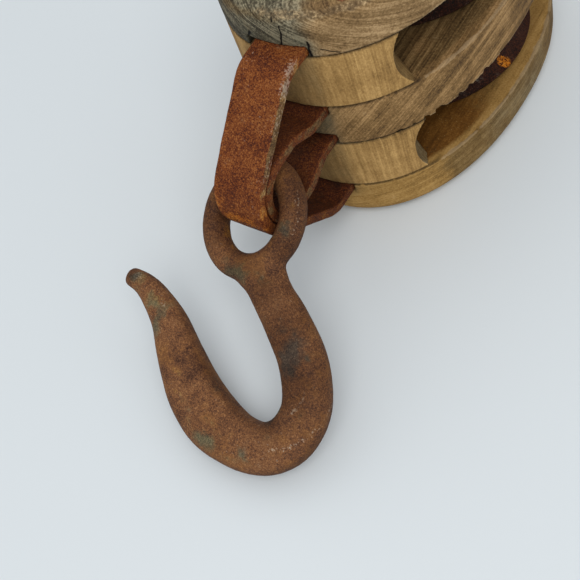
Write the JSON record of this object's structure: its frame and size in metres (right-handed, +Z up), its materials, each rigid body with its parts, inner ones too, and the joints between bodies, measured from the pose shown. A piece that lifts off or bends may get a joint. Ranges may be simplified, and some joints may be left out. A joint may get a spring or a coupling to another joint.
{
  "type": "double sheave block",
  "caption": "Oval wooden pulley block with stacked grooved iron sheaves on a shared pin, inner iron straps and a swinging forged hook, for rope tackle.",
  "frame": {"origin": "on the sheave pin's axis, in the flat lower outer face that the block rests on", "axes": "+Z up along the sheave pin, -Y towards the strap loop and the hook, +X to the right of the block seen from above with the hook end nearest"},
  "size_m": [0.1262, 0.3152, 0.127],
  "materials": {
    "cheek_wood": "weathered, oiled hardwood",
    "spacer_wood": "lighter, less weathered hardwood",
    "strap_iron": "wrought bar, evenly rusted",
    "hook_iron": "forged, rusted brown with darker patches",
    "sheave_iron": "as cast, dark, rusted at the lips",
    "bush_bronze": "dull bearing bronze",
    "pin_steel": "turned, dull",
    "plate_iron": "rolled plate, rusted",
    "rivet_copper": null
  },
  "bodies": {
    "block": {"bottom_cheek": "cheek_wood", "top_cheek": "cheek_wood", "centre_partition": "cheek_wood", "head_spacer_lower": "spacer_wood", "head_spacer_upper": "spacer_wood", "tail_spacer_lower": "spacer_wood", "tail_spacer_upper": "spacer_wood", "outer_strap": "strap_iron", "inner_strap": "strap_iron", "sheave_pin": "pin_steel", "pin_plate_bottom": "plate_iron", "pin_plate_top": "plate_iron", "plate_screw_bottom_head": "plate_iron", "plate_screw_bottom_tail": "plate_iron", "plate_screw_top_head": "plate_iron", "plate_screw_top_tail": "plate_iron", "rivet_head_left": "rivet_copper", "rivet_head_right": "rivet_copper", "rivet_tail_left": "rivet_copper", "rivet_tail_right": "rivet_copper", "burr_bottom_head_left": "rivet_copper", "burr_bottom_head_right": "rivet_copper", "burr_bottom_tail_left": "rivet_copper", "burr_bottom_tail_right": "rivet_copper", "burr_top_head_left": "rivet_copper", "burr_top_head_right": "rivet_copper", "burr_top_tail_left": "rivet_copper", "burr_top_tail_right": "rivet_copper"},
    "sheave_lower": {"sheave_lower": "sheave_iron", "bush_lower": "bush_bronze"},
    "sheave_upper": {"sheave_upper": "sheave_iron", "bush_upper": "bush_bronze"},
    "hook": {"hook": "hook_iron"}
  },
  "joints": [
    {"name": "sheave_lower_spin", "type": "hinge", "parent": "block", "child": "sheave_lower", "pos_m": [0, 0, 0.0375], "axis": [0, 0, 1], "continuous": true},
    {"name": "sheave_upper_spin", "type": "hinge", "parent": "block", "child": "sheave_upper", "pos_m": [0, 0, 0.0895], "axis": [0, 0, 1], "continuous": true},
    {"name": "hook_swing", "type": "hinge", "parent": "block", "child": "hook", "pos_m": [0.0027, -0.1297, 0.0635], "axis": [-1, 0, 0], "range_deg": [0, 76]}
  ]
}
